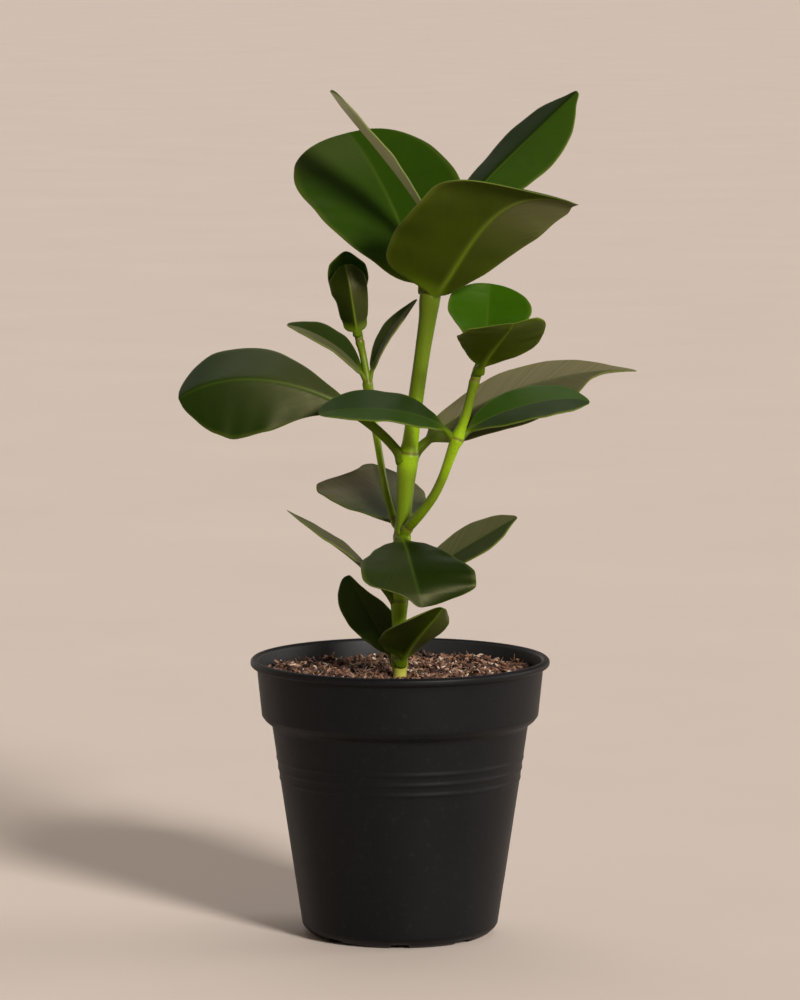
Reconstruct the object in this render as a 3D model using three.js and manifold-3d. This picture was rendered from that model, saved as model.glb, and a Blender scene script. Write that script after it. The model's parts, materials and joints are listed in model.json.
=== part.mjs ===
// A young autograph tree (Clusia rosea) in a black plastic nursery pot.
// Millimetres, +Z up. The origin is the centre of the face that the pot stands on.
import * as THREE from 'three';
import { mergeVertices } from 'three/addons/utils/BufferGeometryUtils.js';
import Module from 'manifold-3d';

const wasm = await Module();
wasm.setup();

// ---------------------------------------------------------------- driving dimensions
const GAP = 0.3; // clearance left between pieces that touch
const POT_SEGMENTS = 40;
const POT_HEIGHT = 111.8;
const POT_WALL = 1.2;
const LIP_RADIUS = 60;
const BAND_TOP_RADIUS = 57.6;
const BAND_BOTTOM_RADIUS = 55.5;
const BAND_BOTTOM_Z = 89;
const SHOULDER_RADIUS = 51.5;
const SHOULDER_Z = 85.4;
const FOOT_TOP_RADIUS = 39.4;
const FOOT_TOP_Z = 4.5;
const FOOT_RADIUS = 34;
const FLOOR_TOP_Z = 4;
const FLOOR_UNDERSIDE_Z = 2.2;
const PAD_RADIUS = 7; // moulding gate pad in the middle of the floor, level with the foot
const RIDGE_FIRST_Z = 61.6;
const RIDGE_PITCH = 4.1;
const RIDGE_COUNT = 3;
const RIDGE_HEIGHT = 0.3;
const NOTCH_COUNT = 8;
const NOTCH_WIDTH = 7;
const NOTCH_HEIGHT = 1.8;
const DRAIN_RADIUS = 2.2;
const DRAIN_CIRCLE_RADIUS = 23;
const MIX_TOP_Z = 104.1;
const STEM_FOOT_Z = 96;
const ROOT_COUNT = 6;
const LEAF_SECTIONS = 12;
const LEAF_EDGE = 0.35; // half thickness at the margin
const LEAF_CORE = 0.65; // half thickness along the midrib
const BLADE_SAMPLES = [-1, -0.5, 0, 0.5, 1];

const GREEN_LEAF = { color: 0x35521f, roughness: 0.45 };
const YOUNG_LEAF = { color: 0x4c6b24, roughness: 0.42 };
const GREEN_STEM = { color: 0x86a338, roughness: 0.5 };

// Stems: each row is x, y, z, radius. The swollen rows are the leaf joints.
const MAIN_STEM = [
  [0.1, 0, STEM_FOOT_Z, 3.1],
  [0.1, 0, 102, 3],
  [0, 0, 106, 2.9],
  [-0.4, 0, 110.5, 3.6],
  [-0.9, 0, 116, 3.2],
  [-1.1, 0, 125, 3.1],
  [-1, 0, 134, 3.6],
  [-0.8, 0, 141, 3.2],
  [-0.6, 0, 152, 3.1],
  [-0.4, 0, 160, 3.6],
  [0, 0, 166, 3.3],
  [0.8, 0, 173, 3.2],
  [1.6, 0, 181, 3.5],
  [2.4, 0, 189, 4],
  [3, 0, 193.5, 4.1],
  [3.7, 0, 198, 3.2],
  [4.6, 0, 206, 2.9],
  [6.3, 0, 218, 3.1],
  [8.2, 0, 234, 3.1],
  [10.2, 0, 248, 3.4],
  [11.8, 0, 256, 4.2],
  [12.8, 0.4, 262, 3.2],
  [14, 0.8, 271, 2.6],
  [16, 1, 281, 2.6],
];
const RIGHT_SHOOT = [
  [1, -1, 161, 2.4],
  [4, -6, 165, 2.6],
  [8, -9, 170, 2.4],
  [13.5, -14, 179, 2.3],
  [18.5, -18, 192, 2.5],
  [21.5, -20, 201, 3.1],
  [23, -20.5, 207, 2.3],
  [25.5, -21, 215, 2.2],
  [29, -22, 224, 2.5],
  [31, -22, 229, 2.2],
];
const LEFT_SHOOT = [
  [1, 1, 163, 1.8],
  [-2, 4, 167, 2],
  [-4, 9, 174, 1.9],
  [-6, 11, 184, 1.8],
  [-8.5, 13, 197, 1.8],
  [-11, 14, 210, 1.9],
  [-12.5, 14, 220, 2.5],
  [-14, 15, 230, 1.8],
  [-16, 15, 237, 1.8],
  [-17, 15, 242, 2.1],
];

// Leaves. path: four points that the midrib runs through, from the stem to the tip.
// face: the way the upper side looks. width: across the blade. rise and close: how fast the outline
// widens from the stalk and closes at the tip. stalk: share of the length that is stalk.
// fold: degrees each half is lifted from flat, at the base and at the tip, as [left, right] halves.
// cup: further degrees that each half turns between the midrib and its edge.
// across: fixed direction from the midrib to the right half's edge, where the midrib bends sideways.
// lobes: width of each half against the usual half width.
// sweep: how far the two halves slide past each other along the midrib, as a share of the width.
const LEAVES = {
  top_back_leaf: {
    path: [[10, 1, 259], [2, 14, 280], [-8, 27, 301], [-21, 38, 320.5]],
    face: [0.05, -0.86, 0.5], width: 61, rise: 0.9, close: 0.42, stalk: 0.08,
    fold: [[10, 4], [15, 4]], cup: [0, 0], sweep: -0.34,
  },
  top_front_leaf: {
    path: [[13, -1, 258], [24, -14, 275], [40, -26, 296], [67, -32, 296]],
    face: [-0.3, 0.7, 0.6], across: [-0.85, -0.28, 0.42], width: 60, rise: 0.85, close: 0.95,
    stalk: 0.08, fold: [[-35, 10], [5, -10]], cup: [0, -10], sweep: -0.22, lobes: [0.68, 1.2],
  },
  top_left_leaf: {
    path: [[15, 0, 281], [1, -4, 302], [-13, -7, 321], [-28, -10, 339]],
    face: [0.82, -0.14, 0.56], width: 32, rise: 1, close: 0.6, stalk: 0.12,
    fold: [[6, 3], [6, 3]], cup: [0, 0], sweep: 0,
  },
  top_right_leaf: {
    path: [[17, 2, 281], [34, 6, 302], [51, 12, 318.5], [71, 16, 338]],
    face: [-0.2, -0.75, 0.6], width: 30, rise: 1.2, close: 0.75, stalk: 0.12,
    fold: [[-12, -12], [-8, -8]], cup: [0, 0], sweep: 0,
  },
  middle_left_leaf: {
    path: [[2, -1, 192], [-22, -4, 214], [-55, -8, 224], [-88, -10, 217]],
    face: [0, -0.88, 0.48], width: 46, rise: 1.25, close: 0.55, stalk: 0.28,
    fold: [[0, -25], [0, -45]], cup: [0, 0], sweep: -0.2,
  },
  middle_right_leaf: {
    path: [[4, 1, 191], [30, 6, 210], [63, 10, 222], [95, 14, 226]],
    face: [0, -0.5, 0.85], width: 36, rise: 1, close: 1.3, stalk: 0.12,
    fold: [[20, 0], [20, 0]], cup: [0, 0], sweep: 0,
  },
  right_shoot_left_leaf: {
    path: [[21, -20, 201], [9, -25, 211], [-11, -28, 214.5], [-32, -31, 213]],
    face: [0, -0.31, 0.95], width: 29, rise: 0.8, close: 0.7, stalk: 0.12,
    fold: [[10, 9], [10, 9]], cup: [0, 0], sweep: 0,
  },
  right_shoot_right_leaf: {
    path: [[23, -20, 201], [36, -17, 210], [56, -14, 216], [75, -11, 216]],
    face: [0, -0.42, 0.9], width: 26, rise: 1, close: 0.6, stalk: 0.12,
    fold: [[10, 4], [10, 4]], cup: [0, 0], sweep: 0,
  },
  right_shoot_back_leaf: {
    path: [[31, -20, 228], [34, -10, 241], [35, -1, 251], [36, 4, 262]],
    face: [0, -0.86, 0.5], width: 34, rise: 0.9, close: 0.4, stalk: 0.12,
    fold: [[20, 8], [20, 8]], cup: [0, 0], sweep: 0,
  },
  right_shoot_front_leaf: {
    path: [[31, -24, 228], [35, -36, 237], [40, -48, 245], [44, -56, 251]],
    face: [0, 0.6, 0.8], width: 33, rise: 0.8, close: 0.35, stalk: 0.12,
    fold: [[15, -10], [15, -10]], cup: [0, 0], sweep: 0,
  },
  left_shoot_left_leaf: {
    path: [[-13, 14, 221], [-21, 11, 231], [-32, 8, 239], [-45, 6, 244]],
    face: [0.1, -0.5, 0.85], width: 15, rise: 0.9, close: 0.7, stalk: 0.12,
    fold: [[20, 12], [20, 12]], cup: [0, 0], sweep: 0,
  },
  left_shoot_right_leaf: {
    path: [[-12, 14, 221], [-8, 14, 233], [-2, 13, 243], [7, 12, 255]],
    face: [-0.6, -0.5, 0.6], width: 12, rise: 0.9, close: 0.7, stalk: 0.15,
    fold: [[25, 20], [25, 20]], cup: [0, 0], sweep: 0,
  },
  left_shoot_back_leaf: {
    path: [[-17, 17, 241], [-19, 20, 252], [-21, 20, 264], [-21, 16, 274]],
    face: [0, -1, 0.1], width: 17, rise: 0.8, close: 0.45, stalk: 0.12,
    fold: [[40, 15], [40, 15]], cup: [0, 0], sweep: 0,
  },
  left_shoot_front_leaf: {
    path: [[-17, 13, 241], [-19, 9, 251], [-20, 8, 260], [-22, 11, 269]],
    face: [0, 1, 0.1], width: 16, rise: 0.8, close: 0.5, stalk: 0.12,
    fold: [[40, 15], [40, 15]], cup: [0, 0], sweep: 0,
  },
  lower_back_leaf: {
    path: [[1, 3, 163], [-5, 18, 171], [-10, 32, 178], [-15, 42, 185]],
    face: [0, -0.4, 0.9], width: 46, rise: 0.8, close: 0.4, stalk: 0.1,
    fold: [[0, -10], [5, -30]], cup: [0, 0], sweep: -0.25,
  },
  lower_front_leaf: {
    path: [[1, -3, 160], [4, -18, 157], [8, -31, 149], [12, -38, 138]],
    face: [0, -0.4, 0.9], width: 44, rise: 0.95, close: 0.42, stalk: 0.08,
    fold: [[5, 5], [10, 10]], cup: [0, 0], sweep: -0.15,
  },
  lower_left_leaf: {
    path: [[-1, 0, 133], [-14, -2, 147.5], [-28, -4, 158.5], [-45, -6, 172]],
    face: [0.69, 0.03, 0.7], width: 21, rise: 0.9, close: 0.7, stalk: 0.15,
    fold: [[6, 3], [6, 3]], cup: [0, 0], sweep: 0,
  },
  lower_right_leaf: {
    path: [[0, 0, 133], [13, 1, 146], [30, 3, 157], [47, 5, 168]],
    face: [-0.3, -0.6, 0.75], width: 19, rise: 1.3, close: 0.8, stalk: 0.15,
    fold: [[25, 15], [15, 8]], cup: [0, 0], sweep: 0,
  },
  bottom_back_leaf: {
    path: [[-1, 2, 111], [-8, 9, 121], [-14, 13, 131], [-21, 14, 143]],
    face: [0.1, -0.9, 0.4], width: 22, rise: 0.8, close: 0.55, stalk: 0.12,
    fold: [[30, 15], [30, 15]], cup: [0, 0], sweep: -0.3,
  },
  bottom_front_leaf: {
    path: [[0, -2, 110], [4, -12, 118], [9, -21, 125], [17, -26, 135]],
    face: [0.1, 0.4, 0.9], width: 32, rise: 0.8, close: 0.4, stalk: 0.12,
    fold: [[15, 5], [10, -10]], cup: [40, -30], sweep: 0,
  },
};

// ---------------------------------------------------------------- small helpers
const vec = (p) => new THREE.Vector3(p[0], p[1], p[2]);
const mix = (a, b, t) => a + (b - a) * t;
const radians = THREE.MathUtils.degToRad;
const ease = (from, to, x) => THREE.MathUtils.smoothstep(x, from, to);

// Closed skin over a stack of rings; each ring runs counter-clockwise about the direction of travel.
function skin(rings, start, end) {
  const count = rings[0].length;
  const positions = [start, ...rings.flat(), end].flatMap((p) => [p.x, p.y, p.z]);
  const at = (ring, k) => 1 + ring * count + (k % count);
  const last = rings.length - 1;
  const faces = [];
  for (let k = 0; k < count; k += 1) {
    faces.push(0, at(0, k + 1), at(0, k));
    faces.push(at(last, k), at(last, k + 1), 1 + rings.length * count);
    for (let i = 0; i < last; i += 1) {
      faces.push(at(i, k), at(i, k + 1), at(i + 1, k + 1));
      faces.push(at(i, k), at(i + 1, k + 1), at(i + 1, k));
    }
  }
  const geometry = new THREE.BufferGeometry();
  geometry.setAttribute('position', new THREE.Float32BufferAttribute(positions, 3));
  geometry.setIndex(faces);
  return geometry;
}

function toSolid(geometry) {
  const bare = geometry.clone();
  bare.deleteAttribute('normal');
  bare.deleteAttribute('uv');
  const merged = mergeVertices(bare, 1e-4);
  const mesh = new wasm.Mesh({
    numProp: 3,
    vertProperties: new Float32Array(merged.getAttribute('position').array),
    triVerts: new Uint32Array(merged.getIndex().array),
  });
  return new wasm.Manifold(mesh);
}

function toGeometry(solid) {
  const mesh = solid.getMesh();
  const geometry = new THREE.BufferGeometry();
  geometry.setAttribute('position', new THREE.Float32BufferAttribute(mesh.vertProperties, 3));
  geometry.setIndex(Array.from(mesh.triVerts));
  geometry.computeVertexNormals();
  return geometry;
}

// Round stem through rows of x, y, z, radius; grow adds to every radius and to both ends.
function stemGeometry(rows, steps, sides, grow = 0) {
  const curve = new THREE.CatmullRomCurve3(rows.map(vec), false, 'catmullrom', 0.5);
  const rings = [];
  const middle = [];
  for (let i = 0; i <= steps; i += 1) {
    const t = i / steps;
    const row = Math.min(Math.floor(t * (rows.length - 1)), rows.length - 2);
    const radius = mix(rows[row][3], rows[row + 1][3], t * (rows.length - 1) - row) + grow;
    const point = curve.getPoint(t);
    const along = curve.getTangent(t);
    const side = new THREE.Vector3(0, -1, 0.1).cross(along).normalize();
    const front = along.clone().cross(side);
    if (i === 0) point.addScaledVector(along, -grow);
    if (i === steps) point.addScaledVector(along, grow);
    const ring = [];
    for (let k = 0; k < sides; k += 1) {
      const angle = (2 * Math.PI * k) / sides;
      const spoke = side.clone().multiplyScalar(radius * Math.cos(angle));
      ring.push(point.clone().add(spoke).addScaledVector(front, radius * Math.sin(angle)));
    }
    rings.push(ring);
    middle.push(point);
  }
  return skin(rings, middle[0], middle[steps]);
}

// Cubic curve that passes through four points at a third and two thirds of the way.
function midribCurve(path) {
  const [a, b, c, d] = path.map(vec);
  const blend = (wa, wb, wc, wd) => a.clone().multiplyScalar(wa / 6).addScaledVector(b, wb / 6)
    .addScaledVector(c, wc / 6).addScaledVector(d, wd / 6);
  return new THREE.CubicBezierCurve3(a, blend(-5, 18, -9, 2), blend(2, -9, 18, -5), d);
}

function leafGeometry(leaf, stalkRadius) {
  const curve = midribCurve(leaf.path);
  const face = vec(leaf.face).normalize();
  const widest = leaf.rise / (leaf.rise + leaf.close);
  const rings = [];
  for (let i = 0; i < LEAF_SECTIONS; i += 1) {
    const t = 1 - (1 - i / LEAF_SECTIONS) ** 1.5;
    const point = curve.getPoint(t);
    const along = curve.getTangent(t);
    const side = leaf.across ? vec(leaf.across).normalize() : along.clone().cross(face).normalize();
    const up = side.clone().cross(along).normalize();
    const u = Math.max(0, (t - leaf.stalk) / (1 - leaf.stalk));
    const outline = (u / widest) ** leaf.rise * ((1 - u) / (1 - widest)) ** leaf.close;
    const stalk = stalkRadius * (1 - ease(0, 0.6, u));
    const blade = ease(leaf.stalk * 0.6, leaf.stalk + 0.12, t);
    const upper = [];
    const lower = [];
    for (const s of BLADE_SAMPLES) {
      const [foot, tip] = leaf.fold[s < 0 ? 0 : 1];
      const turn = leaf.cup[s < 0 ? 0 : 1] * Math.abs(s) * 0.5;
      const lift = radians(mix(foot, tip, t) + turn) * blade;
      const lobe = leaf.lobes ? leaf.lobes[s < 0 ? 0 : 1] : 1;
      const half = Math.max((leaf.width / 2) * outline * lobe, stalk);
      const out = mix(Math.sin((s * Math.PI) / 2), s, blade) * half;
      const thick = mix(
        stalkRadius * Math.cos((s * Math.PI) / 2) + 0.2,
        mix(LEAF_CORE, LEAF_EDGE, s * s),
        blade,
      );
      const rib = point.clone().addScaledVector(side, out * Math.cos(lift));
      rib.addScaledVector(up, Math.abs(out) * Math.sin(lift));
      rib.addScaledVector(along, leaf.sweep * half * blade * s);
      upper.push(rib.clone().addScaledVector(up, thick));
      lower.unshift(rib.clone().addScaledVector(up, -thick));
    }
    rings.push([...upper, ...lower]);
  }
  return skin(rings, curve.getPoint(0), curve.getPoint(1));
}

// ---------------------------------------------------------------- pot
function wallRadius(z) {
  return mix(FOOT_TOP_RADIUS, SHOULDER_RADIUS, (z - FOOT_TOP_Z) / (SHOULDER_Z - FOOT_TOP_Z));
}

function potProfile() {
  const outer = [
    [0, 0],
    [PAD_RADIUS, 0],
    [PAD_RADIUS + 1, FLOOR_UNDERSIDE_Z],
    [FOOT_RADIUS - 5.5, FLOOR_UNDERSIDE_Z],
    [FOOT_RADIUS - 4, 0],
    [FOOT_RADIUS, 0],
    [FOOT_TOP_RADIUS, FOOT_TOP_Z],
  ];
  for (let i = 0; i < RIDGE_COUNT; i += 1) {
    const z = RIDGE_FIRST_Z + i * RIDGE_PITCH;
    outer.push([wallRadius(z), z]);
    outer.push([wallRadius(z + RIDGE_PITCH / 2) + RIDGE_HEIGHT, z + RIDGE_PITCH / 2]);
  }
  const ridgeEnd = RIDGE_FIRST_Z + RIDGE_COUNT * RIDGE_PITCH;
  outer.push([wallRadius(ridgeEnd), ridgeEnd]);
  outer.push([SHOULDER_RADIUS, SHOULDER_Z]);
  outer.push([SHOULDER_RADIUS + 2.8, SHOULDER_Z + 1]);
  outer.push([BAND_BOTTOM_RADIUS, BAND_BOTTOM_Z]);
  outer.push([BAND_TOP_RADIUS, POT_HEIGHT - 4.2]);
  outer.push([LIP_RADIUS - 0.8, POT_HEIGHT - 3.8]);
  outer.push([LIP_RADIUS, POT_HEIGHT - 2.8]);
  outer.push([LIP_RADIUS, POT_HEIGHT - 0.9]);
  outer.push([LIP_RADIUS - 0.9, POT_HEIGHT]);
  outer.push([LIP_RADIUS - 2.6, POT_HEIGHT]);
  return outer;
}

// Inner wall from the mouth down to the floor.
const INNER_WALL = [
  [LIP_RADIUS - 3.4, POT_HEIGHT - 1],
  [BAND_TOP_RADIUS - POT_WALL, POT_HEIGHT - 5],
  [BAND_BOTTOM_RADIUS - POT_WALL, BAND_BOTTOM_Z + 1],
  [SHOULDER_RADIUS - POT_WALL + 2, SHOULDER_Z + 2.2],
  [SHOULDER_RADIUS - POT_WALL, SHOULDER_Z],
  [FOOT_TOP_RADIUS - POT_WALL, FOOT_TOP_Z + 2],
  [FOOT_TOP_RADIUS - POT_WALL - 1.6, FLOOR_TOP_Z],
];

function lathe(profile, segments) {
  const geometry = new THREE.LatheGeometry(profile.map(([r, z]) => new THREE.Vector2(r, z)), segments);
  return geometry.rotateX(Math.PI / 2);
}

function makePot() {
  let pot = toSolid(lathe([...potProfile(), ...INNER_WALL, [0, FLOOR_TOP_Z]], POT_SEGMENTS));
  for (let i = 0; i < NOTCH_COUNT; i += 1) {
    const turn = (2 * Math.PI * (i + 0.5)) / NOTCH_COUNT + Math.PI / NOTCH_COUNT;
    const notch = new THREE.BoxGeometry(12, NOTCH_WIDTH, 2 * NOTCH_HEIGHT);
    notch.translate(FOOT_RADIUS, 0, 0).rotateZ(turn);
    pot = pot.subtract(toSolid(notch));
    const drain = new THREE.CylinderGeometry(DRAIN_RADIUS, DRAIN_RADIUS, 12, 12);
    drain.rotateX(Math.PI / 2).translate(DRAIN_CIRCLE_RADIUS, 0, FLOOR_TOP_Z).rotateZ(turn);
    pot = pot.subtract(toSolid(drain));
  }
  return toGeometry(pot);
}

// ---------------------------------------------------------------- roots and potting mix
function rootRows(index) {
  const turn = radians(20 + (360 / ROOT_COUNT) * index + 12 * Math.sin(3 * index));
  const reach = 26 + 4 * Math.cos(2 * index);
  const point = (r, z, radius) => [r * Math.cos(turn), r * Math.sin(turn), z, radius];
  return [
    point(0, 86, 2.2),
    point(7, 80, 2.0),
    point(reach * 0.6, 66, 1.6),
    point(reach, 44, 1.2),
    point(reach + 3, 20, 0.7),
  ];
}

function rootSolid(grow) {
  const top = STEM_FOOT_Z - GAP;
  let roots = toSolid(stemGeometry([
    [0, 0, top, 3.8],
    [0, 0, 88, 3.8],
    [0, 0, 76, 2.2],
    [0, 0, 56, 0.8],
  ], 6, 8, grow));
  for (let i = 0; i < ROOT_COUNT; i += 1) {
    roots = roots.add(toSolid(stemGeometry(rootRows(i), 6, 6, grow)));
  }
  return roots;
}

function soilLump(x, y) {
  return 0.45 * Math.sin(0.33 * x + 1) * Math.cos(0.29 * y) + 0.35 * Math.sin(0.7 * x - 0.5 * y);
}

function makePottingMix(mainStem) {
  const profile = [[0, FLOOR_TOP_Z + GAP]];
  for (const [r, z] of [...INNER_WALL].reverse()) {
    if (z < MIX_TOP_Z) profile.push([r - GAP - 0.1, Math.max(z, FLOOR_TOP_Z + GAP)]);
  }
  const edge = BAND_TOP_RADIUS - POT_WALL - GAP - 0.5;
  for (const share of [1, 0.86, 0.7, 0.54, 0.38, 0.22, 0]) {
    profile.push([edge * share, MIX_TOP_Z]);
  }
  const geometry = lathe(profile, 36);
  const points = geometry.getAttribute('position');
  for (let i = 0; i < points.count; i += 1) {
    if (points.getZ(i) > MIX_TOP_Z - 0.1) {
      points.setZ(i, MIX_TOP_Z + soilLump(points.getX(i), points.getY(i)));
    }
  }
  return toGeometry(toSolid(geometry).subtract(mainStem).subtract(rootSolid(GAP)));
}

// ---------------------------------------------------------------- assembly
const group = new THREE.Group();

function addPiece(name, geometry, look) {
  const mesh = new THREE.Mesh(geometry, new THREE.MeshStandardMaterial({ metalness: 0, ...look }));
  mesh.name = name;
  group.add(mesh);
}

const mainStemRoom = toSolid(stemGeometry(MAIN_STEM, 30, 12, GAP));
const rightShoot = toSolid(stemGeometry(RIGHT_SHOOT, 14, 10)).subtract(mainStemRoom);
const leftShoot = toSolid(stemGeometry(LEFT_SHOOT, 14, 10)).subtract(mainStemRoom);
const rightShootRoom = toSolid(stemGeometry(RIGHT_SHOOT, 14, 10, GAP));
const leftShootRoom = toSolid(stemGeometry(LEFT_SHOOT, 14, 10, GAP));

addPiece('pot', makePot(), { color: 0x1d1c1e, roughness: 0.5 });
addPiece('potting_mix', makePottingMix(mainStemRoom), { color: 0x3a2a1f, roughness: 0.95 });
addPiece('root_system', toGeometry(rootSolid(0)), { color: 0xb59a72, roughness: 0.8 });
addPiece('main_stem', stemGeometry(MAIN_STEM, 30, 12), GREEN_STEM);
addPiece('right_shoot', toGeometry(rightShoot), GREEN_STEM);
addPiece('left_shoot', toGeometry(leftShoot), GREEN_STEM);

for (const [name, leaf] of Object.entries(LEAVES)) {
  const young = name.includes('left_shoot');
  const blade = toSolid(leafGeometry(leaf, young ? 0.9 : 1.5));
  const fitted = blade.subtract(mainStemRoom).subtract(rightShootRoom).subtract(leftShootRoom);
  addPiece(name, toGeometry(fitted), young ? YOUNG_LEAF : GREEN_LEAF);
}

export default group;
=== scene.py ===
"""Autograph tree in a nursery pot: the fine visual model over the CAD frame. Design values are in mm."""

import json
import math
import random

import bmesh
import bpy
import numpy as np
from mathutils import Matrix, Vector

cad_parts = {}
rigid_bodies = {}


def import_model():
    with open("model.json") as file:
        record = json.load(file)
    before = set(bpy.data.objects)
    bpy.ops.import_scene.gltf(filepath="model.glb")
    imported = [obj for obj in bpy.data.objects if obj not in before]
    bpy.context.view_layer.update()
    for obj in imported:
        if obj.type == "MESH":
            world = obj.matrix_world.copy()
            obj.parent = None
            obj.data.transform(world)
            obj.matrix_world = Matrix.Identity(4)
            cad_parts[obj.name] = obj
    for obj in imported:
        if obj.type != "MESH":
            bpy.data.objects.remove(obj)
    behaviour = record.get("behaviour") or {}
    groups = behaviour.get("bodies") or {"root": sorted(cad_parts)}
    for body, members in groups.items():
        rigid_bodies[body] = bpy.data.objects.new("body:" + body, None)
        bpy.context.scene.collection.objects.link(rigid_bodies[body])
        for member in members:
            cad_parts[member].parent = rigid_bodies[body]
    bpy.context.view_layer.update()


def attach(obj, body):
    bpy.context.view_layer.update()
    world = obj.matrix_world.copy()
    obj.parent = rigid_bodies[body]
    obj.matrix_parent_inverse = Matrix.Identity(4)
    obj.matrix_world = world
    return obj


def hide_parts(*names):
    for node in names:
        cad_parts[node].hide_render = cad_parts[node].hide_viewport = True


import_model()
MM = 0.001
TURN = 6.28  # radians, close to one full turn, for phases and ripples


# ---------------------------------------------------------------- small helpers

def smoothstep(a, b, x):
    """0 up to a, 1 from b on, and a smooth climb between."""
    k = np.clip((np.asarray(x, float) - a) / (b - a), 0, 1)
    return k * k * (3 - 2 * k)


def mix(a, b, k):
    return a + (b - a) * k


def unit(v):
    v = np.asarray(v, float)
    return v / np.linalg.norm(v, axis=-1, keepdims=True)


def bell(x, centre, width):
    """1 at the centre, falling away on both sides."""
    return np.exp(-(((np.asarray(x, float) - centre) / width) ** 2))


def make_piece(name, points_mm, faces, material, attributes=None, nodes=()):
    """A smooth mesh piece that rides on the plant and stands for the given CAD nodes."""
    mesh = bpy.data.meshes.new(name)
    mesh.from_pydata((np.asarray(points_mm) * MM).tolist(), [], faces)
    for key, values in (attributes or {}).items():
        layer = mesh.attributes.new(key, "FLOAT", "POINT")
        layer.data.foreach_set("value", np.asarray(values, np.float32).ravel())
    mesh.validate()
    mesh.polygons.foreach_set("use_smooth", [True] * len(mesh.polygons))
    mesh.materials.append(material)
    piece = bpy.data.objects.new(name, mesh)
    bpy.context.scene.collection.objects.link(piece)
    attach(piece, "root")
    if nodes:
        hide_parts(*nodes)
    return piece


def grid_faces(rows, columns):
    """Quads over a rows x columns grid of points, wrapping round each row."""
    faces = []
    for i in range(rows - 1):
        here = i * columns
        above = here + columns
        for j in range(columns):
            k = (j + 1) % columns
            faces.append((here + j, here + k, above + k, above + j))
    return faces


def end_faces(rows, columns):
    """The two flat ends of such a grid: first row turned over, then last row."""
    last = (rows - 1) * columns
    return [tuple(range(columns))[::-1], tuple(last + j for j in range(columns))]


# ---------------------------------------------------------------- materials

class Graph:
    """A short way to build a node material."""

    def __init__(self, name):
        self.material = bpy.data.materials.new(name)
        self.material.use_nodes = True
        self.tree = self.material.node_tree
        self.tree.nodes.clear()
        self.out = self.tree.nodes.new("ShaderNodeOutputMaterial")

    def node(self, kind, **settings):
        made = self.tree.nodes.new(kind)
        for key, value in settings.items():
            setattr(made, key, value)
        return made

    def plug(self, source, socket):
        if isinstance(source, bpy.types.NodeSocket):
            self.tree.links.new(source, socket)
        elif isinstance(source, (tuple, list)) and len(source) == 3 and socket.type == "RGBA":
            socket.default_value = (*source, 1)
        else:
            socket.default_value = source

    def attribute(self, name):
        return self.node("ShaderNodeAttribute", attribute_name=name).outputs["Fac"]

    def math(self, operation, a, b=0.0, c=0.0):
        made = self.node("ShaderNodeMath", operation=operation)
        for value, socket in zip((a, b, c), made.inputs):
            self.plug(value, socket)
        return made.outputs[0]

    def ramp(self, value, low, high):
        made = self.node("ShaderNodeMapRange", interpolation_type="SMOOTHSTEP")
        self.plug(value, made.inputs["Value"])
        self.plug(low, made.inputs["From Min"])
        self.plug(high, made.inputs["From Max"])
        return made.outputs[0]

    def blend(self, factor, a, b):
        made = self.node("ShaderNodeMix", data_type="RGBA")
        self.plug(factor, made.inputs[0])
        self.plug(a, made.inputs[6])
        self.plug(b, made.inputs[7])
        return made.outputs[2]

    def position(self, scale=1.0):
        place = self.node("ShaderNodeTexCoord").outputs["Object"]
        if scale == 1.0:
            return place
        moved = self.node("ShaderNodeMapping")
        self.plug(place, moved.inputs["Vector"])
        moved.inputs["Scale"].default_value = scale if isinstance(scale, tuple) else (scale,) * 3
        return moved.outputs[0]

    def noise(self, scale, detail=3.0, roughness=0.5, stretch=1.0, one=None):
        made = self.node("ShaderNodeTexNoise", noise_dimensions="3D" if one is None else "1D")
        if one is None:
            self.plug(self.position(stretch), made.inputs["Vector"])
        else:
            self.plug(one, made.inputs["W"])
        made.inputs["Scale"].default_value = scale
        made.inputs["Detail"].default_value = detail
        made.inputs["Roughness"].default_value = roughness
        return made.outputs["Fac"]

    def bump(self, height, strength, distance, below=None):
        made = self.node("ShaderNodeBump")
        made.inputs["Strength"].default_value = strength
        made.inputs["Distance"].default_value = distance
        self.plug(height, made.inputs["Height"])
        if below is not None:
            self.plug(below, made.inputs["Normal"])
        return made.outputs[0]

    def surface(self, colour, roughness, normal=None, **plain):
        made = self.node("ShaderNodeBsdfPrincipled")
        self.plug(colour, made.inputs["Base Color"])
        self.plug(roughness, made.inputs["Roughness"])
        if normal is not None:
            self.plug(normal, made.inputs["Normal"])
        for key, value in plain.items():
            self.plug(value, made.inputs[key.replace("_", " ")])
        return made.outputs[0]

    def finish(self, shader):
        self.tree.links.new(shader, self.out.inputs["Surface"])
        return self.material


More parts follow.
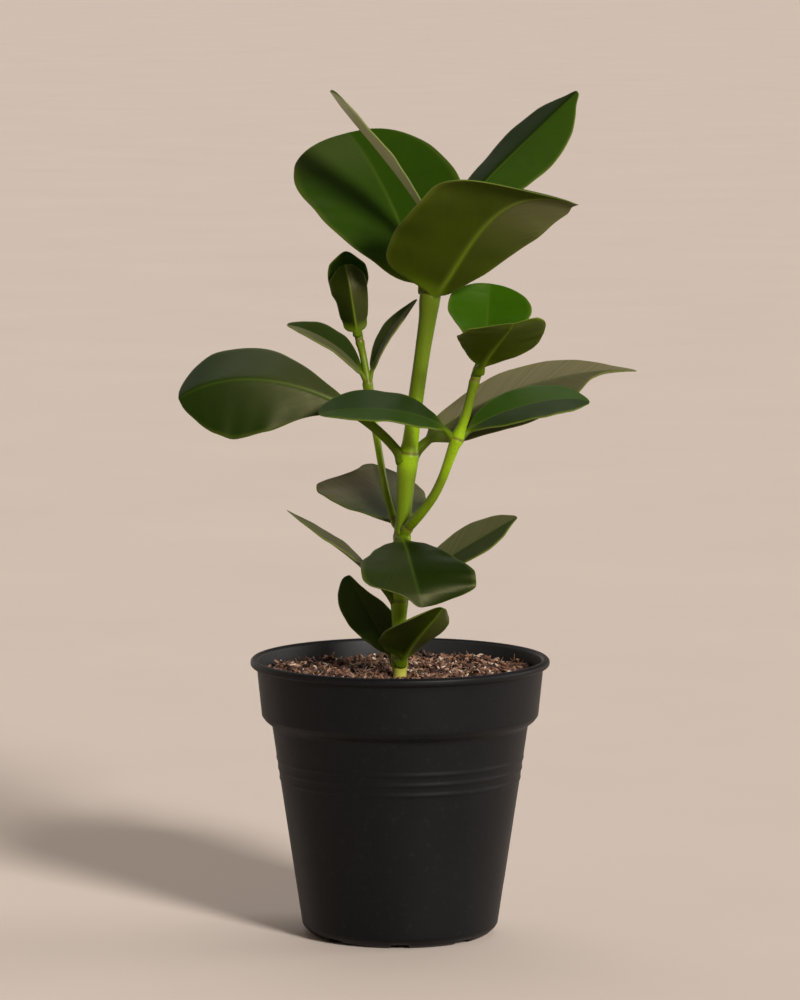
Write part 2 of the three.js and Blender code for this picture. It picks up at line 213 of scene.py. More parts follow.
def leaf_material():
    g = Graph("leaf")
    under = g.attribute("under")
    young = g.attribute("young")
    rib = g.attribute("rib")
    rim = g.attribute("rim")
    stalk = g.attribute("stalkness")
    vein = g.attribute("vein")
    mottle = g.noise(90, 4, 0.6)
    cloud = g.noise(28, 2, 0.5)
    lines = g.noise(0.55, 3, 0.6, one=vein)
    fine = g.noise(1.9, 2, 0.6, one=vein)
    top = g.blend(cloud, (0.0085, 0.0200, 0.0012), (0.0165, 0.0340, 0.0018))
    top = g.blend(young, top, (0.0270, 0.0800, 0.0008))
    low = g.blend(cloud, (0.030, 0.040, 0.0012), (0.046, 0.058, 0.0025))
    body = g.blend(under, top, low)
    body = g.blend(g.math("MULTIPLY", g.ramp(lines, 0.35, 0.7), 0.05), body, (0.045, 0.070, 0.01))
    body = g.blend(g.math("MULTIPLY", g.ramp(mottle, 0.45, 0.8), 0.25), body, (0.006, 0.014, 0.001))
    # Painted shade: each half is darkened by its listed amount, in place of the shading from the light.
    body = g.blend(g.attribute("painted_shade"), body, (0.0030, 0.0070, 0.0005))
    # Painted sheen: a dull warm grey, streaked along the veins, stands in for light reflected off the leaf
    # where listed.
    sheen_streaks = g.math("MULTIPLY_ADD", g.ramp(lines, 0.3, 0.7), 0.25, 0.75)
    body = g.blend(g.math("MULTIPLY", g.attribute("painted_sheen"), sheen_streaks), body, (0.165, 0.140, 0.078))
    # Painted reflection: the underside turns pale grey-green where listed, standing in for a glossy
    # reflection.
    body = g.blend(g.attribute("pale"), body, (0.46, 0.45, 0.27))
    rib_colour = g.blend(under, (0.065, 0.105, 0.012), (0.125, 0.175, 0.010))
    body = g.blend(rib, body, rib_colour)
    body = g.blend(g.math("MULTIPLY", rim, 0.65), body, (0.150, 0.180, 0.025))
    body = g.blend(stalk, body, (0.085, 0.135, 0.004))
    grain = g.math("MULTIPLY_ADD", fine, 0.5, mottle)
    normal = g.bump(lines, 0.10, 0.0004)
    normal = g.bump(grain, 0.12, 0.0004, normal)
    rough = g.math("MULTIPLY_ADD", mottle, 0.18, 0.30)
    coat = g.surface(body, rough, normal, Specular_IOR_Level=0.14, Specular_Tint=(1.0, 0.88, 0.50, 1))
    glow = g.node("ShaderNodeBsdfTranslucent")
    through = g.blend(young, (0.10, 0.22, 0.002), (0.26, 0.52, 0.003))
    through = g.blend(rib, through, (0.35, 0.45, 0.03))
    g.plug(through, glow.inputs["Color"])
    g.plug(normal, glow.inputs["Normal"])
    both = g.node("ShaderNodeMixShader")
    both.inputs[0].default_value = 0.24
    g.plug(coat, both.inputs[1])
    g.plug(glow.outputs[0], both.inputs[2])
    return g.finish(both.outputs[0])


def stem_material():
    g = Graph("stem")
    height = g.attribute("height")
    scar = g.attribute("scar")
    streak = g.noise(120, 4, 0.6, stretch=(1.0, 1.0, 0.12))
    cloud = g.noise(60, 3, 0.5)
    low = g.blend(g.ramp(height, 102, 112), (0.34, 0.31, 0.06), (0.18, 0.22, 0.012))
    # Painted light: from about 112 to 150 mm the stem is a brighter green, lifting the shade that the lower
    # leaves cast on it.
    body = g.blend(g.ramp(height, 112, 124), low, (0.20, 0.32, 0.004))
    body = g.blend(g.ramp(height, 146, 168), body, (0.105, 0.165, 0.002))
    # Painted light: from about 184 to 210 mm the stem is a brighter green, lifting the shade that the right
    # shoot's leaf casts there.
    body = g.blend(g.ramp(height, 184, 192), body, (0.19, 0.31, 0.002))
    body = g.blend(g.ramp(height, 200, 222), body, (0.085, 0.13, 0.002))
    body = g.blend(g.ramp(height, 225, 262), body, (0.058, 0.088, 0.002))
    body = g.blend(g.math("MULTIPLY", g.ramp(streak, 0.4, 0.75), 0.35), body, (0.050, 0.085, 0.002))
    body = g.blend(g.math("MULTIPLY", g.ramp(cloud, 0.5, 0.8), 0.25), body, (0.14, 0.19, 0.006))
    body = g.blend(g.math("MULTIPLY", scar, 0.8), body, (0.09, 0.055, 0.016))
    speck = g.ramp(g.noise(900, 1, 0.5), 0.66, 0.72)
    body = g.blend(g.math("MULTIPLY", speck, 0.3), body, (0.05, 0.05, 0.006))
    normal = g.bump(streak, 0.25, 0.0005)
    rough = g.math("MULTIPLY_ADD", streak, 0.2, 0.30)
    coat = g.surface(body, rough, normal, Specular_IOR_Level=0.24, Specular_Tint=(1.0, 0.92, 0.60, 1),
                     Subsurface_Weight=0.25, Subsurface_Scale=0.0015, Subsurface_Radius=(0.7, 1.0, 0.15))
    return g.finish(coat)


def pot_material():
    g = Graph("pot_plastic")
    fine = g.noise(1500, 2, 0.5)
    cloud = g.noise(34, 4, 0.6)
    scuff = g.ramp(g.noise(170, 5, 0.7, stretch=(0.5, 0.5, 2.4)), 0.63, 0.76)
    ridge = g.attribute("ridge")
    dust = g.ramp(g.noise(420, 3, 0.6), 0.56, 0.8)
    body = g.blend(cloud, (0.0024, 0.0025, 0.0030), (0.0038, 0.0038, 0.0043))
    # Painted reflection: the inner wall is a lighter grey than the outside, standing in for the sheen it
    # reflects.
    body = g.blend(g.attribute("inside"), body, (0.017, 0.017, 0.0175))
    mark = g.math("MULTIPLY", scuff, g.math("MULTIPLY_ADD", ridge, 0.12, 0.02))
    body = g.blend(mark, body, (0.075, 0.068, 0.062))
    body = g.blend(g.math("MULTIPLY", dust, 0.05), body, (0.09, 0.08, 0.07))
    normal = g.bump(fine, 0.10, 0.0003)
    normal = g.bump(cloud, 0.10, 0.002, normal)
    rough = g.math("MULTIPLY_ADD", cloud, 0.16, 0.40)
    return g.finish(g.surface(body, rough, normal, Specular_IOR_Level=0.14))


def mix_material():
    g = Graph("potting_mix")
    tone = g.attribute("tone")
    grit = g.noise(700, 4, 0.7)
    ramp = g.node("ShaderNodeValToRGB")
    g.plug(tone, ramp.inputs[0])
    stops = ramp.color_ramp.elements
    stops[0].position = 0.0
    stops[0].color = (0.006, 0.0035, 0.0025, 1)
    stops[1].position = 1.0
    stops[1].color = (0.66, 0.50, 0.40, 1)
    for place, colour in ((0.25, (0.026, 0.012, 0.007)), (0.5, (0.115, 0.050, 0.028)),
                          (0.72, (0.26, 0.125, 0.068)), (0.88, (0.42, 0.26, 0.175))):
        stop = stops.new(place)
        stop.color = (*colour, 1)
    body = g.blend(g.math("MULTIPLY", grit, 0.55), ramp.outputs[0], (0.022, 0.012, 0.008))
    normal = g.bump(grit, 0.5, 0.0006)
    return g.finish(g.surface(body, g.math("MULTIPLY_ADD", grit, 0.2, 0.62), normal, Specular_IOR_Level=0.3))


def floor_material():
    g = Graph("studio_floor")
    cloud = g.noise(5.0, 4, 0.6)
    weave = g.noise(420, 2, 0.5)
    body = g.blend(cloud, (0.545, 0.468, 0.413), (0.600, 0.517, 0.458))
    body = g.blend(g.math("MULTIPLY", weave, 0.10), body, (0.50, 0.43, 0.38))
    normal = g.bump(weave, 0.05, 0.0006)
    return g.finish(g.surface(body, g.math("MULTIPLY_ADD", cloud, 0.1, 0.85), normal, Specular_IOR_Level=0.1))


LEAF = leaf_material()
STEM = stem_material()
POT = pot_material()
MIX = mix_material()
FLOOR = floor_material()


# ---------------------------------------------------------------- the leaves

# path: four points that the midrib runs through, from the stem to the tip.
# face: the way the upper side looks, or across: the way the right half runs from the midrib.
# left, right: the outline of each half, as (place from stalk to tip, half width) pairs.
# stalk: the share of the length that is stalk. petiole: the stalk's half thickness.
# fold: degrees that the left and then the right half is lifted, each at the stem and at the tip.
# cup: twice the degrees of lift added at each rim.
# sweep: how far the right rim is shifted towards the tip, and the left rim back, as a share of the
# half width.
# bumps: swellings of the rim, as (0 for left or 1 for right, place, spread, outward, upward).
# young: how fresh and light the green is, from 0 to 1.
# painted_shade, painted_sheen, pale: how strongly each half is painted with shade, a dull grey sheen or,
# underneath, a pale reflection. These patches imitate shade and reflections. painted_sheen_at: the place
# and spread of the painted sheen along the blade.
LEAVES = {
    "top_back_leaf": dict(
        path=[(10, 1, 259), (2, 14, 280), (-8, 27, 301), (-21, 38, 320.5)], face=(0.05, -0.86, 0.5),
        left=[(0.05, 9.5), (0.1, 15), (0.2, 21.8), (0.4, 30.3), (0.6, 33.0), (0.8, 28.5), (0.9, 22.5)],
        right=[(0.1, 8), (0.2, 14.5), (0.4, 24), (0.6, 29.2), (0.8, 26), (0.9, 20.5)],
        stalk=0.05, fold=[(10, 4), (15, 4)], sweep=-0.34, young=0.35,
        painted_shade=(0.15, 0.1), painted_sheen=(0.12, 0.0), painted_sheen_at=(0.9, 0.2)),
    "top_front_leaf": dict(
        path=[(12.5, -1, 257), (24, -14, 273.5), (40, -26, 293), (67.5, -32, 296.5)], face=(-0.3, 0.7, 0.6),
        across=(-0.85, -0.28, 0.42),
        left=[(0.05, 3.5), (0.1, 5), (0.2, 8.2), (0.4, 15.5), (0.6, 19), (0.8, 16), (0.9, 10)],
        right=[(0.05, 15.5), (0.1, 22), (0.2, 28), (0.4, 30.5), (0.6, 29.8), (0.8, 27.5), (0.9, 23.5),
               (0.96, 15), (0.985, 8)],
        stalk=0.03, fold=[(-35, 10), (5, -10)], cup=(0, -10), sweep=-0.12, young=0.3,
        bumps=[(1, 0.74, 0.13, 0.8, 2.6)],
        painted_sheen=(0.5, 0.05), painted_sheen_at=(0.85, 0.3)),
    "top_left_leaf": dict(
        path=[(15, 0, 281), (2.8, -4, 301.5), (-12.6, -7, 321), (-27.6, -10, 339.2)],
        face=(0.82, -0.14, 0.56),
        left=[(0.1, 5), (0.3, 9.5), (0.5, 12.5), (0.7, 13.2), (0.85, 12), (0.95, 9)],
        right=[(0.1, 3), (0.3, 6), (0.5, 7.5), (0.7, 8.2), (0.85, 7.8), (0.95, 6)],
        stalk=0.12, fold=[(26, 24), (-8, 6)], young=0.5,
        pale=(0.8, 0.1)),
    "top_right_leaf": dict(
        path=[(17, 2, 281), (34, 6, 302), (51, 12, 318.5), (71, 16, 338)], face=(-0.2, -0.75, 0.6),
        left=[(0.08, 8.5), (0.17, 11.2), (0.3, 12.4), (0.4, 12.9), (0.6, 14.2), (0.8, 12), (0.9, 7.1),
              (0.95, 3.8)],
        right=[(0.08, 5), (0.17, 8.5), (0.3, 12), (0.4, 14), (0.6, 15.2), (0.8, 12), (0.9, 7.2), (0.95, 3.8)],
        stalk=0.12, fold=[(-30, -26), (-15, -10)], young=0.45,
        painted_shade=(0.8, 0.0), painted_sheen=(0.0, 0.04)),
    "middle_left_leaf": dict(
        path=[(1.5, -1, 191.7), (-22, -4, 213.2), (-55, -8, 224.3), (-88, -10, 217)], face=(0, -0.88, 0.48),
        left=[(0.2, 9.9), (0.4, 20.7), (0.6, 23.6), (0.8, 19.6), (0.9, 14.8), (0.95, 10.3)],
        right=[(0.2, 6.2), (0.4, 14.6), (0.6, 21.8), (0.8, 23.3), (0.9, 18.6), (0.95, 13.3)],
        stalk=0.28, fold=[(0, -25), (0, -45)], sweep=-0.2, young=0.1, petiole=1.9,
        painted_shade=(0.55, 0.4), painted_sheen=(0.0, 0.18), painted_sheen_at=(0.3, 0.28)),
    "middle_right_leaf": dict(
        path=[(4, 1, 192), (30, 6, 211.8), (63, 10, 223.4), (95, 14, 226)], face=(0, -0.5, 0.85),
        left=[(0.05, 4.5), (0.1, 6), (0.2, 7.4), (0.4, 9.6), (0.6, 9.6), (0.8, 5.6), (0.9, 2.6)],
        right=[(0.1, 10), (0.2, 14.8), (0.4, 19), (0.6, 16), (0.7, 10), (0.78, 3.2), (0.86, 1.2)],
        stalk=0.1, fold=[(27, 20), (-5, -12)], young=0.0, petiole=2.0,
        painted_shade=(0.0, 0.4), painted_sheen=(0.85, 0.4)),
    "right_shoot_left_leaf": dict(
        path=[(21, -20, 201.5), (9, -25, 211), (-11, -28, 214.5), (-32, -31, 213)], face=(0, -0.31, 0.95),
        left=[(0.1, 5), (0.2, 8.8), (0.4, 12.3), (0.6, 11.8), (0.8, 8.8), (0.9, 5.6)],
        right=[(0.1, 5.5), (0.2, 8.8), (0.4, 14.2), (0.6, 15.2), (0.8, 12), (0.9, 8.2)],
        stalk=0.12, fold=[(2, 0), (10, 9)], young=0.6, petiole=1.3,
        painted_shade=(0.25, 0.65)),
    "right_shoot_right_leaf": dict(
        path=[(23, -20, 201.5), (36, -17, 210), (56, -14, 216), (75.3, -11, 216)], face=(0, -0.42, 0.9),
        left=[(0.1, 4), (0.2, 7.2), (0.4, 11), (0.6, 12), (0.8, 10), (0.9, 6.5), (0.95, 4)],
        right=[(0.1, 4), (0.2, 7), (0.4, 11.5), (0.6, 13), (0.8, 11), (0.9, 7), (0.95, 4.2)],
        stalk=0.12, fold=[(10, 4), (10, 4)], young=0.6, petiole=1.3,
        painted_shade=(0.1, 0.7)),
    "right_shoot_back_leaf": dict(
        path=[(31, -20, 229), (34, -10, 241), (35, -1, 251), (36, 4, 262)], face=(0, -0.86, 0.5),
        left=[(0.2, 8.4), (0.4, 13.6), (0.6, 16.4), (0.8, 15.4), (0.9, 11.8)],
        right=[(0.2, 9.5), (0.4, 15.4), (0.6, 17.9), (0.8, 15.6), (0.9, 12.4)],
        stalk=0.12, fold=[(20, 8), (20, 8)], young=0.9, petiole=1.3),
    "right_shoot_front_leaf": dict(
        path=[(31, -24, 229), (35, -36, 237.5), (40, -48, 245), (44, -56, 251)], face=(0, 0.6, 0.8),
        left=[(0.1, 7), (0.2, 12.5), (0.3, 17), (0.4, 18.2), (0.6, 17.6), (0.8, 15), (0.9, 11.8)],
        right=[(0.1, 4.6), (0.2, 8.2), (0.4, 13.2), (0.6, 16.8), (0.8, 16.6), (0.9, 14)],
        stalk=0.1, fold=[(2, 30), (15, -12)], sweep=-0.25, young=0.7, petiole=1.3,
        bumps=[(1, 0.85, 0.05, 0.6, 1.2), (0, 0.9, 0.05, -0.4, 1.0)]),
    "left_shoot_left_leaf": dict(
        path=[(-13, 14, 221), (-21, 11, 231.8), (-32, 8, 240), (-45.2, 6, 245.2)], face=(0.1, -0.5, 0.85),
        left=[(0.1, 3), (0.2, 4.6), (0.4, 6.4), (0.6, 6.4), (0.8, 4.4), (0.9, 2.6)],
        right=[(0.1, 3.4), (0.2, 5.6), (0.4, 8), (0.6, 8), (0.8, 5.6), (0.9, 3.6)],
        stalk=0.1, fold=[(20, 12), (20, 12)], young=0.15, petiole=0.9,
        painted_shade=(0.0, 0.5), painted_sheen=(0.5, 0.05)),
    "left_shoot_right_leaf": dict(
        path=[(-12.8, 14, 221), (-8.7, 14, 233), (-3, 13, 243), (6.8, 12, 255)], face=(-0.6, -0.5, 0.6),
        left=[(0.1, 2.4), (0.2, 3.4), (0.4, 5.1), (0.6, 5.3), (0.8, 3.8), (0.9, 2.4)],
        right=[(0.1, 2.4), (0.2, 3.8), (0.4, 5.4), (0.6, 5.4), (0.8, 3.6), (0.9, 2.1)],
        stalk=0.1, fold=[(25, 20), (25, 20)], young=0.15, petiole=0.9,
        painted_shade=(0.4, 0.0), painted_sheen=(0.15, 0.5)),
    "left_shoot_back_leaf": dict(
        path=[(-17, 17, 241), (-19, 20, 252), (-21, 20, 264), (-21.4, 16, 274)], face=(0, -1, 0.1),
        left=[(0.2, 4.6), (0.4, 6.8), (0.6, 8.8), (0.8, 7.6), (0.9, 4.4), (0.95, 2.7)],
        right=[(0.2, 4.6), (0.4, 7), (0.6, 9), (0.8, 8.1), (0.9, 5.4), (0.95, 3.7)],
        stalk=0.1, fold=[(40, 15), (40, 15)], young=0.4, petiole=0.9,
        painted_shade=(0.8, 0.8)),
    "left_shoot_front_leaf": dict(
        path=[(-17, 13, 240.5), (-18.6, 9, 251), (-20, 8, 260), (-22, 11, 269)], face=(0, 1, 0.1),
        left=[(0.03, 3.6), (0.1, 5.6), (0.2, 6.8), (0.4, 7.4), (0.6, 7.6), (0.8, 7.2), (0.9, 5.6)],
        right=[(0.03, 4), (0.1, 6), (0.2, 7), (0.4, 7.2), (0.6, 8.6), (0.8, 8.6), (0.9, 6.4)],
        stalk=0.04, fold=[(42, 18), (38, 15)], young=0.3, petiole=1.0,
        painted_shade=(0.6, 0.75), painted_sheen=(0.1, 0.0)),
    "lower_back_leaf": dict(
        path=[(1, 3, 163), (-5, 18, 170.5), (-9, 32, 178.4), (-11.5, 42, 185.6)], face=(0, -0.4, 0.9),
        left=[(0.2, 12.6), (0.4, 20), (0.6, 24.4), (0.68, 24), (0.74, 20.2), (0.79, 14), (0.85, 8.8),
              (0.92, 5.6), (0.97, 4)],
        right=[(0.2, 12), (0.4, 17), (0.6, 18.4), (0.8, 15.5), (0.9, 11), (0.95, 7.5)],
        stalk=0.1, fold=[(0, -12), (5, -16)], sweep=-0.25, young=0.0,
        painted_shade=(0.2, 0.2), painted_sheen=(1.0, 0.5), painted_sheen_at=(0.75, 0.35)),
    "lower_front_leaf": dict(
        path=[(0.5, -3, 160), (2.8, -18, 157), (5.2, -31, 149.5), (9, -38, 137.2)], face=(0, -0.4, 0.9),
        left=[(0.1, 6), (0.2, 10), (0.4, 19), (0.6, 24.6), (0.8, 23.6), (0.9, 18.5), (0.95, 12.5)],
        right=[(0.1, 5), (0.2, 8.8), (0.4, 15.2), (0.6, 20.6), (0.74, 21.4), (0.8, 19.4), (0.84, 13),
               (0.88, 8), (0.93, 4.6), (0.97, 3.2)],
        stalk=0.06, fold=[(-3, 2), (8, 8)], sweep=-0.15, young=0.05,
        painted_shade=(0.6, 0.45), painted_sheen=(0.0, 0.06)),
    "lower_left_leaf": dict(
        path=[(-1, 0, 133), (-14, -2, 148.2), (-28, -4, 159.6), (-45, -6, 172)], face=(0.69, 0.03, 0.7),
        left=[(0.1, 3.5), (0.3, 7.5), (0.5, 10), (0.7, 9), (0.85, 5), (0.95, 2)],
        right=[(0.1, 3), (0.3, 6.6), (0.5, 8.6), (0.7, 8), (0.85, 5), (0.95, 2.2)],
        stalk=0.15, fold=[(4, 2), (17, 12)], young=0.0,
        painted_sheen=(0.3, 0.45)),
    "lower_right_leaf": dict(
        path=[(0, 0, 133), (13, 1, 147), (30, 3, 158), (47, 5, 168)], face=(-0.3, -0.6, 0.75),
        left=[(0.2, 4.6), (0.4, 7.6), (0.6, 9), (0.8, 7.4), (0.9, 5.3), (0.95, 3.3)],
        right=[(0.2, 4.6), (0.4, 8.2), (0.6, 9.8), (0.8, 6.8), (0.9, 3.2), (0.95, 1.7)],
        stalk=0.15, fold=[(25, 15), (15, 8)], young=0.05,
        painted_shade=(0.0, 0.2), painted_sheen=(0.42, 0.1)),
    "bottom_back_leaf": dict(
        path=[(-1, 2, 109), (-8, 9, 120.5), (-14.2, 13, 131), (-20.8, 14, 143.4)], face=(0.1, -0.9, 0.4),
        left=[(0.1, 6), (0.2, 9), (0.4, 11.4), (0.6, 11.2), (0.8, 9), (0.9, 6.4)],
        right=[(0.1, 5), (0.2, 7.2), (0.4, 9), (0.6, 7.6), (0.8, 3.8), (0.9, 2.1)],
        stalk=0.1, fold=[(30, 15), (30, 15)], sweep=-0.25, young=0.1,
        painted_sheen=(0.06, 0.18)),
    "bottom_front_leaf": dict(
        path=[(0, -2, 109.5), (4, -12, 118), (9, -21, 125.4), (17, -26, 135.5)], face=(0.1, 0.4, 0.9),
        left=[(0.1, 6), (0.2, 9), (0.4, 13.5), (0.6, 15.4), (0.8, 13.5), (0.9, 10.5)],
        right=[(0.1, 6.5), (0.2, 10.5), (0.4, 15.5), (0.6, 17.2), (0.8, 15.5), (0.9, 12)],
        stalk=0.1, fold=[(15, 5), (12, -8)], cup=(50, -30), young=0.2,
        painted_shade=(0.2, 0.6), painted_sheen=(0.12, 0.0)),
}


def through_four(points, t):
    """Position and unit direction at t on the cubic through four evenly spaced points."""
    p = [np.asarray(q, float) for q in points]
    b = (-5 * p[0] + 18 * p[1] - 9 * p[2] + 2 * p[3]) / 6
    c = (2 * p[0] - 9 * p[1] + 18 * p[2] - 5 * p[3]) / 6
    k = t[:, None]
    place = (1 - k) ** 3 * p[0] + 3 * k * (1 - k) ** 2 * b + 3 * k * k * (1 - k) * c + k ** 3 * p[3]
    slope = 3 * (1 - k) ** 2 * (b - p[0]) + 6 * k * (1 - k) * (c - b) + 3 * k * k * (p[3] - c)
    return place, unit(slope)


def outline(pairs, u):
    """Half width at u from (place, half width) pairs, eased to a round tip at 1."""
    rows = np.array([(0.0, 0.0), *pairs, (1.0, 0.0)], float)
    place = 1 - np.sqrt(1 - rows[:, 0])
    value = rows[:, 1]
    gap = np.diff(place)
    slope = np.diff(value) / gap
    before = slope[:-1]
    after = slope[1:]
    weighed = ((2 * gap[1:] + gap[:-1]) / np.where(before == 0, 1, before)
               + (gap[1:] + 2 * gap[:-1]) / np.where(after == 0, 1, after))
    lean = np.empty(len(place))
    lean[1:-1] = np.where(before * after > 0, 3 * (gap[:-1] + gap[1:]) / weighed, 0)
    lean[0] = slope[0] * 1.3
    lean[-1] = slope[-1] * 1.3
    q = 1 - np.sqrt(1 - u)
    i = np.clip(np.searchsorted(place, q, "right") - 1, 0, len(gap) - 1)
    h = gap[i]
    k = (q - place[i]) / h
    return ((1 + 2 * k) * (1 - k) ** 2 * value[i] + k * (1 - k) ** 2 * h * lean[i]
            + k * k * (3 - 2 * k) * value[i + 1] + k * k * (k - 1) * h * lean[i + 1])


def make_leaf(name, path, face, left, right, stalk, fold, young, across=None, cup=(0, 0), sweep=0.0,
              petiole=1.5, bumps=(), painted_shade=(0, 0), painted_sheen=(0, 0), painted_sheen_at=None, pale=(0, 0)):
    """One leaf with its stalk: each half from the midrib to the rim, over the top and underneath."""
    chance = random.Random(name)
    rows = 92
    t = 1 - (1 - np.arange(rows + 1) / rows) ** 1.5
    t[-1] = 0.99995
    place, along = through_four(path, t)
    if across is not None:
        side = np.tile(unit(across), (len(t), 1))
    else:
        side = unit(np.cross(along, np.asarray(face, float)))
    up = unit(np.cross(side, along))
    length = np.linalg.norm(np.diff(place, axis=0), axis=1).sum()
    u = np.clip((t - stalk) / (1 - stalk), 1e-6, 1)
    width = 2 * max(value for _, value in left + right)
    clasp = 1 + 0.9 * np.exp(-((t * length / 3.2) ** 2))
    stalk_half = petiole * (1 - smoothstep(0, 0.6, u)) * clasp
    blade = smoothstep(stalk * 0.6, stalk + 0.12, t)
    scale = min(1.0, width / 46)

    inner = 18
    v_blade = (np.arange(inner + 1) / inner) ** 1.45
    corner = np.radians([30, 60, 90])
    count = inner + 1 + len(corner)
    v_stalk = np.arange(count) / (count - 1)
    phases = [chance.uniform(0, TURN) for _ in range(6)]

    columns = []
    for k, sign in ((0, -1.0), (1, 1.0)):
        half = np.maximum(outline((left, right)[k], u), stalk_half)
        out_bump = np.zeros(len(t))
        up_bump = np.zeros(len(t))
        for which, centre, spread, outward, upward in bumps:
            if which == k:
                out_bump += outward * bell(u, centre, spread)
                up_bump += upward * bell(u, centre, spread)
        half = np.maximum(half + out_bump * blade * np.minimum(1, 4 * (1 - u)), 0.02)
        half = half * mix(1.0, np.sqrt(np.clip((1 - u) / 0.004, 0.02, 1)), u > 0.996)
        edge = np.minimum(0.38, half * 0.6)
        flat = (half - edge)[:, None] * v_blade[None, :]
        turned = (half - edge)[:, None] + edge[:, None] * np.sin(corner)[None, :]
        x = np.concatenate([flat, turned], axis=1)
        s = x / half[:, None]
        roundness = np.concatenate([np.ones_like(flat), np.tile(np.cos(corner), (len(t), 1))], axis=1)
        thick = mix(0.62, 0.36, s ** 2) * roundness * np.minimum(1, 0.25 + 6 * (1 - u))[:, None]
        x_stalk = half[:, None] * np.sin(math.pi / 2 * v_stalk)[None, :]
        thick_stalk = (petiole * clasp ** 0.6)[:, None] * np.cos(math.pi / 2 * v_stalk)[None, :]
        b = blade[:, None]
        x = mix(x_stalk, x, b)
        ratio = x / half[:, None]
        thick = mix(thick_stalk, thick, b)
        lift = np.radians(mix(fold[k][0], fold[k][1], t)[:, None] + cup[k] * np.abs(ratio) * 0.5) * b
        soft = np.sqrt(x * x + 2.2) - math.sqrt(2.2)
        rippled = 0.012 * width * ratio ** 2 * (
            np.sin(TURN * 1.3 * u + phases[k])[:, None]
            + 0.5 * np.sin(TURN * 2.9 * u + phases[2 + k])[:, None]
            + 0.25 * np.sin(TURN * 6.1 * u + phases[4 + k])[:, None])
        rippled = (rippled + up_bump[:, None] * ratio ** 2) * b * np.minimum(1, 3 * (1 - u))[:, None]
        shoulder = np.minimum(1, x / 2.5)
        axis_up = up[:, None, :] * np.cos(lift * shoulder)[..., None] \
            - sign * side[:, None, :] * np.sin(lift * shoulder)[..., None]
        centre = (place[:, None, :] + sign * side[:, None, :] * (x * np.cos(lift))[..., None]
                  + up[:, None, :] * (soft * np.sin(lift) + rippled)[..., None]
                  + along[:, None, :] * (sweep * half[:, None] * blade[:, None] * sign * ratio)[..., None])
        rib_width = (mix(1.5, 0.45, u) * scale)[:, None]
        rib_height = (1.15 * scale * (1 - u) ** 0.8)[:, None] * b
        lower = thick + rib_height * np.exp(-((x / rib_width) ** 2))
        upper = thick - 0.22 * scale * b * np.exp(-((x / (0.8 * scale)) ** 2)) * (1 - u)[:, None]
        top = centre + axis_up * upper[..., None]
        bottom = centre - axis_up * lower[..., None]
        near_rim = np.exp(-(half[:, None] - x) / 0.30) * b
        rib_top = np.exp(-((x / (0.42 * scale + 0.12)) ** 2)) * (mix(0.85, 0.15, u ** 0.8)[:, None])
        rib_low = np.exp(-((x / (rib_width * 0.9)) ** 2)) * (mix(1.0, 0.3, u)[:, None])
        arc = (t * length)[:, None] - 1.5 * x + 7 * k
        columns.append(dict(top=top, bottom=bottom, rim=near_rim, rib_top=rib_top, rib_low=rib_low,
                            vein=arc, across=ratio * sign))

    one, two = columns
    last = count - 1

    def ring(upper, lower):
        """Left rim to right rim over the top, then back underneath."""
        return np.concatenate([one[upper][:, ::-1], two[upper][:, 1:],
                               two[lower][:, last - 1::-1], one[lower][:, 1:last]], axis=1)

    points = ring("top", "bottom")
    per = points.shape[1]
    under = np.zeros(per)
    under[2 * count - 1:] = 1
    for spot in (0, 2 * count - 2):
        under[spot] = 0.5
    total = len(t)
    faces = grid_faces(total, per) + end_faces(total, per)
    share = smoothstep(-0.08, 0.08, ring("across", "across"))
    where = 1 if painted_sheen_at is None else bell(u, *painted_sheen_at)[:, None]
    attributes = {
        "painted_shade": mix(painted_shade[0], painted_shade[1], share),
        "painted_sheen": mix(painted_sheen[0], painted_sheen[1], share) * where,
        "pale": mix(pale[0], pale[1], share) * under[None, :],
        "under": np.tile(under, (total, 1)),
        "rib": ring("rib_top", "rib_low"),
        "rim": ring("rim", "rim"),
        "vein": ring("vein", "vein"),
        "stalkness": np.tile((1 - smoothstep(stalk * 0.5, stalk + 0.16, t))[:, None], (1, per)),
        "young": np.full((total, per), young),
    }
    make_piece("fine_" + name, points.reshape(-1, 3), faces, LEAF, attributes, [name])


for leaf_name, shape in LEAVES.items():
    make_leaf(leaf_name, **shape)


# ---------------------------------------------------------------- the stems

# Each row is a place on the stem's middle line and the radius there.
MAIN = [
    (0, 0, 97, 2.9), (0, 0, 102, 2.85), (-0.1, 0, 106, 2.8), (-0.2, 0, 110.5, 3.4), (-0.3, 0, 116, 2.9),
    (-0.4, 0, 125, 2.8), (-0.2, 0, 134, 3.4), (0, 0, 141, 3.0), (0.4, 0, 152, 2.9), (0.8, 0, 160, 3.5),
    (1.2, 0, 166, 3.1), (1.7, 0, 173, 3.2), (2.2, 0, 181, 3.6), (2.9, 0, 189, 4.2), (3.4, 0, 193.5, 4.3),
    (4, 0, 198, 3.4), (5, 0, 206, 3.1), (6.6, 0, 218, 3.1), (8.9, 0, 234, 3.1), (11, 0, 248, 3.5),
    (11.8, 0, 256, 4.1), (12.8, 0.4, 262, 3.2), (14, 0.8, 271, 2.6), (16, 1, 281, 2.6),
]
RIGHT_SHOOT = [
    (1.1, -1, 161, 2.1), (3.4, -4, 165.2, 2.2), (6.6, -8, 169.2, 2.05), (10.2, -11, 173.8, 1.9),
    (13.9, -14, 179.6, 1.85), (16.9, -16.5, 186.2, 1.85), (19, -18.5, 192.3, 1.95), (21.2, -20, 198.8, 2.3),
    (22.5, -20.3, 202.3, 2.8), (24.4, -20.7, 207, 2.0), (26.2, -21, 212.4, 1.9), (27.9, -21.5, 219.6, 1.85),
    (29.8, -22, 226.5, 2.1), (31.2, -22, 231, 1.9),
]
